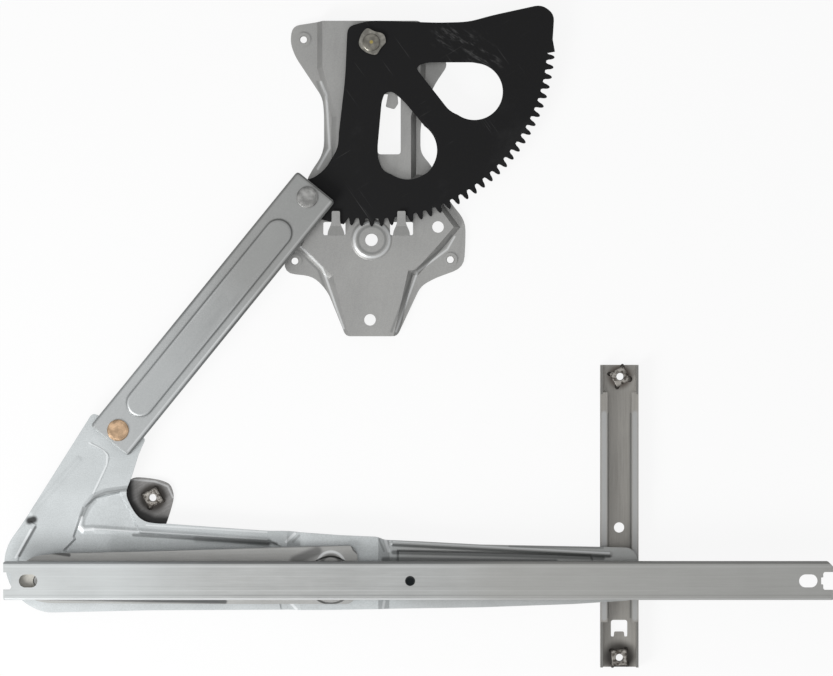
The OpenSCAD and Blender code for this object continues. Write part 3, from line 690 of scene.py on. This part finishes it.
# Near-black painted shadow where the lever's edge overhangs the bracket, and a painted highlight
# along the bracket's rim.
BRACKET_SHADING = (
    (UNDER_LEVER, 5.5, (0.02, 0.02, 0.02), 0.9),
    (BRACKET_RIM, 0.9, SHINE, 0.3),
)
wear(
    "pivot_bracket",
    zinc(
        "bracket_in_painted_shade",
        (0.32, 0.315, 0.31),
        (0.17, 0.165, 0.16),
        0.5,
        marks=BRACKET_MARKS,
        shading_lines=BRACKET_SHADING,
    ),
)
wear("lever_pivot_pin", rivet_steel)

weld_steel = Finish("welded_nut")
scorch = weld_steel.noise(weld_steel.place(), 420.0, 4.0, 0.65)
nut_steel = weld_steel.set(
    Base_Color=weld_steel.blend(
        scorch.step(0.38, 0.62), rgb(0.07, 0.06, 0.05), rgb(0.42, 0.40, 0.37)
    ),
    Metallic=0.7,
    Roughness=0.36 + scorch * 0.2,
    Normal=weld_steel.bump(scorch, 0.4, 0.0002),
)
wear("bracket_weld_nut", nut_steel)


def weld_tree():
    """Small flattened beads of weld metal, uneven in size."""
    tree = group_of(
        "weld_beads",
        (
            ("Bead radius", "NodeSocketFloat"),
            ("Seed", "NodeSocketInt"),
            ("Finish", "NodeSocketMaterial"),
        ),
    )
    given = add(tree, "NodeGroupInput").outputs
    bead = add(tree, "GeometryNodeMeshIcoSphere")
    bead.inputs["Subdivisions"].default_value = 3
    uneven = add(tree, "FunctionNodeRandomValue", data_type="FLOAT_VECTOR")
    uneven.inputs["Min"].default_value = (0.75, 0.75, 0.4)
    uneven.inputs["Max"].default_value = (1.25, 1.2, 0.6)
    spread = add(tree, "GeometryNodeInstanceOnPoints")
    real = add(tree, "GeometryNodeRealizeInstances")
    paint = add(tree, "GeometryNodeSetMaterial")
    last = add(tree, "NodeGroupOutput")
    join(
        tree,
        (given["Bead radius"], bead.inputs["Radius"]),
        (given["Seed"], uneven.inputs["Seed"]),
        (given["Geometry"], spread.inputs["Points"]),
        (bead.outputs["Mesh"], spread.inputs["Instance"]),
        (uneven.outputs[0], spread.inputs["Scale"]),
        (spread.outputs[0], real.inputs[0]),
        (real.outputs[0], paint.inputs[0]),
        (given["Finish"], paint.inputs["Material"]),
        (paint.outputs[0], last.inputs[0]),
    )
    return tree


WELD = weld_tree()
NUT_CORNER = 6.4
BEAD_RADIUS = 1.7
BEAD_LIFT = 0.25
slag = Finish("weld_slag")
crust = slag.noise(slag.place(), 900.0, 4.0, 0.7)
weld_slag = slag.set(
    Base_Color=slag.blend(crust, rgb(0.015, 0.013, 0.012), rgb(0.09, 0.08, 0.07)),
    Metallic=0.3,
    Roughness=0.6,
    Normal=slag.bump(crust, 0.5, 0.0002),
)


def weld_beads(name, body, nuts, seed):
    """Beads at the four corners of each nut, given as x, y, turn in degrees, base."""
    points = []
    for x, y, turn, base in nuts:
        for corner in range(4):
            angle = math.radians(turn + 45 + 90 * corner)
            out_x, out_y = NUT_CORNER * math.cos(angle), NUT_CORNER * math.sin(angle)
            points.append((x + out_x, y + out_y, base + BEAD_LIFT))
    sizes = {"Bead radius": BEAD_RADIUS * MM, "Seed": seed, "Finish": weld_slag}
    return mounted(grown(name, points, WELD, sizes), body)


weld_beads("bracket_weld", "bracket", ((*NUT_AT, 28, 2.0),), 3)
threads(
    "bracket_thread",
    "bracket",
    ((*NUT_AT, 2.6),),
    NUT_TAP,
    NUT_THREAD_RISE,
)


# The scissor arms: two brownish steel halves on one long riveted pin.
# The front half runs under the rail to its left end, the rear half to the guide.
ARM_LEFT_END = ((-212.0, -197.6), (-203.0, -196.6), (-190.0, -198.6))
ARM_TOP_EDGE = ((-212.0, -197.6), (-60.0, -193.6), (-12.6, -192.2))
ARM_RIGHT_END = ((-12.6, -192.2), (-11.0, -195.6), (-7.6, -198.6), (-7.6, -203.0))
ARM_SHADE_PATCH = ((-48.0, -202.0), (-34.0, -196.0))
ARM_BOSS = ((-25.4, -205.0), (-25.2, -205.0))
ARM_LOW_EDGE = ((-212.0, -225.2), (-92.0, -227.8))
# Painted shadow under the arm's left end and along its lower edge by the rail, painted shade
# along its top and right edges and in a patch beside the boss, and a painted highlight ring and
# a painted shade ring on the boss.
ARM_SHADING = (
    (ARM_LEFT_END, 1.6, (0.03, 0.03, 0.03), 0.8),
    (ARM_TOP_EDGE, 0.9, SHADE, 0.6),
    (ARM_RIGHT_END, 0.8, SHADE, 0.9),
    (ARM_SHADE_PATCH, 4.5, (0.06, 0.06, 0.06), 0.6),
    (ARM_BOSS, 1.2, SHINE, 0.6, 8.6),
    (ARM_BOSS, 1.6, (0.05, 0.05, 0.05), 0.6, 6.0),
    (ARM_LOW_EDGE, 2.2, (0.03, 0.033, 0.035), 0.8),
)
arm_steel = zinc("arm_steel", (0.43, 0.43, 0.42), (0.33, 0.33, 0.32), 0.0, shading_lines=ARM_SHADING)
for arm in ("scissor_arm_front", "scissor_arm_rear"):
    wear(arm, arm_steel)
for pin in (
    "centre_pin",
    "centre_spacer_rear",
    "centre_spacer_front",
    "rail_pin_left",
    "rail_pin_right",
    "guide_pin",
):
    wear(pin, rivet_steel)


# The glass rail: a long folded channel with a slot near each end.
# Moulded shoes run in it and in the guide.
RAIL_ENDS = (-229.0, 288.0)


def rail_line(height, ends=RAIL_ENDS):
    """A level path along the rail, at a height in mm."""
    return ((ends[0], height), (ends[1], height))


# Painted shade along the rail's top edge and painted highlight along its lower edge, faint
# painted highlights and shade along its creases, and the right end painted darker and the left
# end lighter for light falling from the lower left.
RAIL_SHADING = (
    (rail_line(-202.6), 1.7, SHADE, 0.65),
    (rail_line(-225.7), 0.9, SHINE, 0.55),
    (rail_line(-223.3), 0.6, SHADE, 0.3),
    (rail_line(-205.4), 0.7, SHINE, 0.15),
    (rail_line(-211.6, (-210.0, 250.0)), 0.5, SHINE, 0.07),
    (rail_line(-217.8, (-190.0, 270.0)), 0.5, SHADE, 0.1),
    (rail_line(-220.4, (-220.0, 180.0)), 0.4, SHINE, 0.12),
    (rail_line(-214.0, (120.0, 300.0)), 90.0, (0.36, 0.355, 0.335), 0.5),
    (rail_line(-214.0, (-300.0, -200.0)), 120.0, (0.60, 0.64, 0.65), 0.35),
)
wear(
    "glass_rail",
    zinc(
        "rail_steel",
        (0.44, 0.45, 0.445),
        (0.35, 0.355, 0.35),
        rough=0.4,
        drawn=0.4,
        shading_lines=RAIL_SHADING,
    ),
)
moulded = Finish("moulded_shoe")
shoe_plastic = moulded.set(
    Base_Color=moulded.blend(
        moulded.noise(moulded.place(), 300.0), rgb(0.42, 0.41, 0.37), rgb(0.52, 0.50, 0.46)
    ),
    Roughness=0.5,
)
for shoe in ("rail_shoe_left", "rail_shoe_right", "guide_shoe"):
    wear(shoe, shoe_plastic)


# The guide channel: browner steel with lips turned over its shoe.
# A square nut is welded at each end, and the sheet is burnt round both.
TOP_NUT, LOW_NUT = (157.2, -86.5), (156.8, -264.2)
GUIDE_NUTS = ((*TOP_NUT, 30, 1.5), (*LOW_NUT, 4, 1.5))
GUIDE_MARKS = (
    burnt_round(TOP_NUT, 5.5, 9.5, (0.12, 0.10, 0.085)),
    burnt_round(LOW_NUT, 6.5, 13),
)
LIP_PALE = (0.44, 0.45, 0.455)
LIPS, OVER_LIPS, BELOW_LIPS = (-110.0, -239.0), (-80.0, -97.0), (-242.0, -270.0)


def guide_line(across, ends):
    """An upright path along the guide, at a place across it in mm."""
    return ((across, ends[0]), (across, ends[1]))


# The lips painted paler than the web, with painted shade along the folds inside them and beside
# them above and below.
GUIDE_SHADING = (
    (guide_line(147.0, LIPS), 2.6, LIP_PALE, 0.7),
    (guide_line(166.6, LIPS), 2.6, LIP_PALE, 0.7),
    (guide_line(149.6, LIPS), 0.8, SHADE, 0.5),
    (guide_line(164.0, LIPS), 0.8, SHADE, 0.5),
    (guide_line(145.6, OVER_LIPS), 1.0, SHADE, 0.6),
    (guide_line(168.0, OVER_LIPS), 1.0, SHADE, 0.6),
    (guide_line(145.6, BELOW_LIPS), 1.0, SHADE, 0.6),
    (guide_line(168.0, BELOW_LIPS), 1.0, SHADE, 0.6),
)
wear(
    "guide_channel",
    zinc(
        "guide_steel",
        (0.40, 0.385, 0.36),
        (0.30, 0.29, 0.27),
        math.pi / 2,
        drawn=0.4,
        marks=GUIDE_MARKS,
        shading_lines=GUIDE_SHADING,
    ),
)
wear("guide_weld_nuts", nut_steel)
weld_beads("guide_weld", "guide", GUIDE_NUTS, 8)
threads(
    "guide_threads",
    "guide",
    [(*nut, 2.1) for nut in (TOP_NUT, LOW_NUT)],
    NUT_TAP,
    NUT_THREAD_RISE,
)
